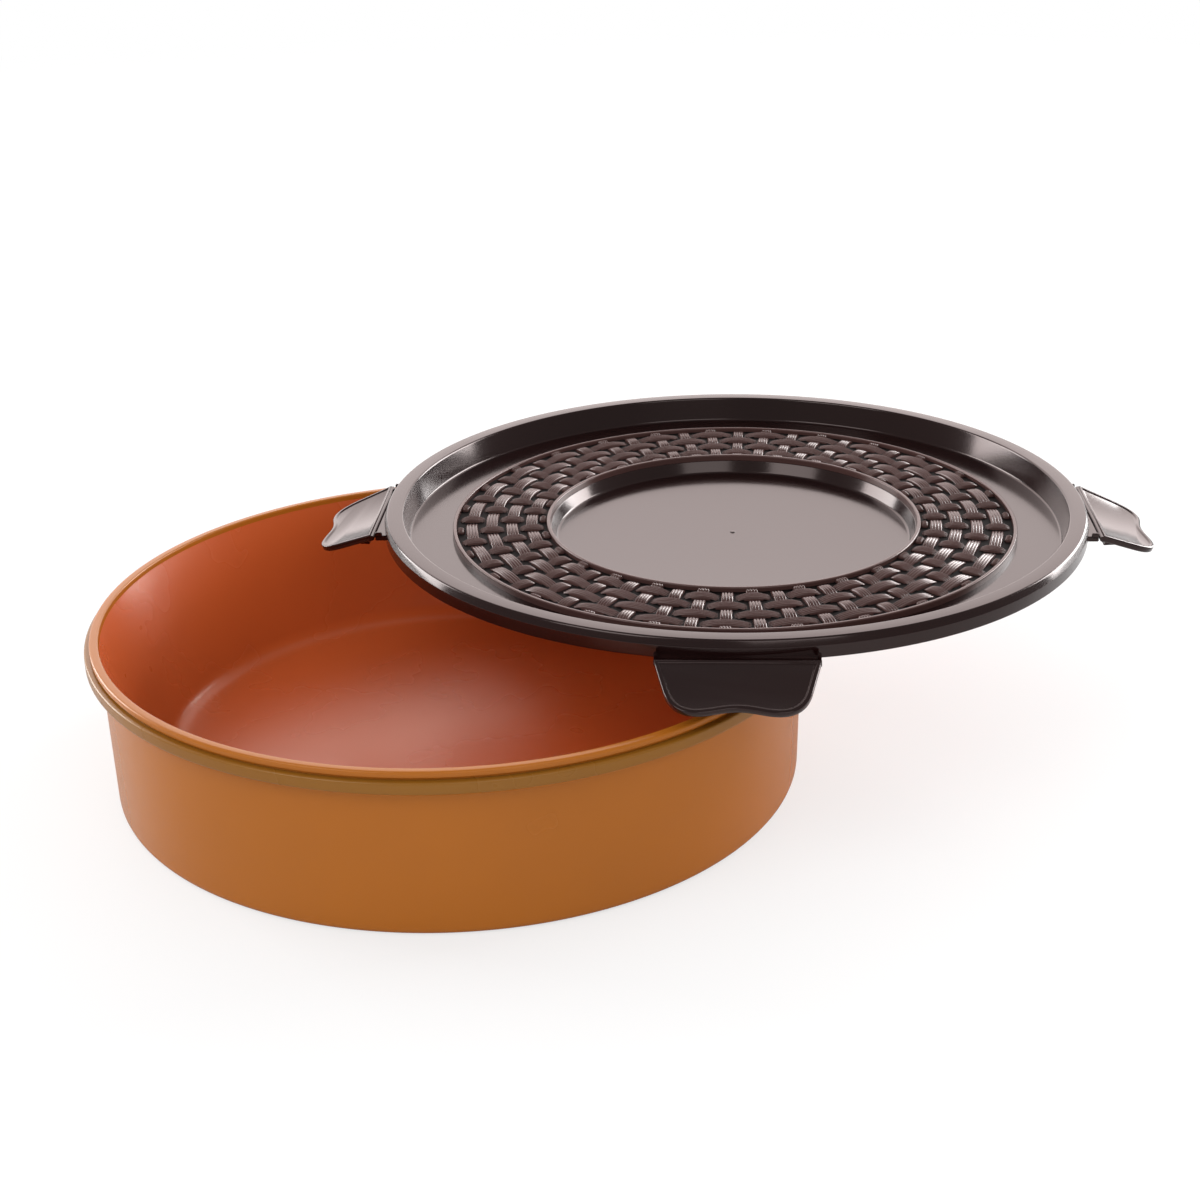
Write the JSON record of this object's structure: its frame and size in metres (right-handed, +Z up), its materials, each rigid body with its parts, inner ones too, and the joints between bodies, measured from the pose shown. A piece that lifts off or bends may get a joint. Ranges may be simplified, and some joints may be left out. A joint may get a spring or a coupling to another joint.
{
  "type": "insulated casserole",
  "caption": "Round insulated casserole for flat breads: double-walled bowl and a lift-off lid with a basket-weave ring and snap flaps, lying open on the bowl.",
  "frame": {"origin": "centre of the bowl's foot, on the surface it stands on", "axes": "+Z up; -Y towards the viewer; +X to the right, the side the open lid lies towards"},
  "size_m": [0.3927, 0.3237, 0.0814],
  "materials": {
    "shell_plastic": "satin moulded polypropylene, copper brown",
    "collar_plastic": "satin moulded plastic, olive gold",
    "liner_plastic": "glossy food-grade plastic, reddish copper",
    "lid_plastic": "glossy moulded plastic, dark brown",
    "weave_plastic": "satin moulded plastic, dark brown",
    "lid_liner_plastic": "glossy food-grade plastic, reddish copper",
    "foam": "cast rigid foam"
  },
  "bodies": {
    "bowl": {"outer_shell": "shell_plastic", "rim_collar": "collar_plastic", "inner_bowl": "liner_plastic", "bowl_foam": "foam", "base_cover": "shell_plastic", "base_plug": "shell_plastic"},
    "lid": {"lid_shell": "lid_plastic", "weave_ring": "weave_plastic", "lid_liner": "lid_liner_plastic", "lid_foam": "foam", "lid_plug": "lid_liner_plastic"},
    "flap_right": {"flap_right": "lid_plastic"},
    "flap_back": {"flap_back": "lid_plastic"},
    "flap_left": {"flap_left": "lid_plastic"},
    "flap_front": {"flap_front": "lid_plastic"}
  },
  "joints": [
    {"name": "lid_lift", "type": "slide", "parent": "bowl", "child": "lid", "axis": [0, 0, 1], "range_m": [0, 0.12]},
    {"name": "flap_right_hinge", "type": "hinge", "parent": "lid", "child": "flap_right", "pos_m": [0.2392, 0.01942, 0.075], "axis": [-0.1392, -0.9903, 0], "range_deg": [-69, 60], "stiffness_Nm_per_rad": 0.03},
    {"name": "flap_back_hinge", "type": "hinge", "parent": "lid", "child": "flap_back", "pos_m": [0.12558, 0.1702, 0.075], "axis": [0.9903, -0.1392, 0], "range_deg": [-69, 60], "stiffness_Nm_per_rad": 0.03},
    {"name": "flap_left_hinge", "type": "hinge", "parent": "lid", "child": "flap_left", "pos_m": [-0.0252, 0.05658, 0.075], "axis": [0.1392, 0.9903, 0], "range_deg": [-69, 60], "stiffness_Nm_per_rad": 0.03},
    {"name": "flap_front_hinge", "type": "hinge", "parent": "lid", "child": "flap_front", "pos_m": [0.08842, -0.0942, 0.075], "axis": [-0.9903, 0.1392, 0], "range_deg": [-12, 60], "stiffness_Nm_per_rad": 0.03}
  ]
}
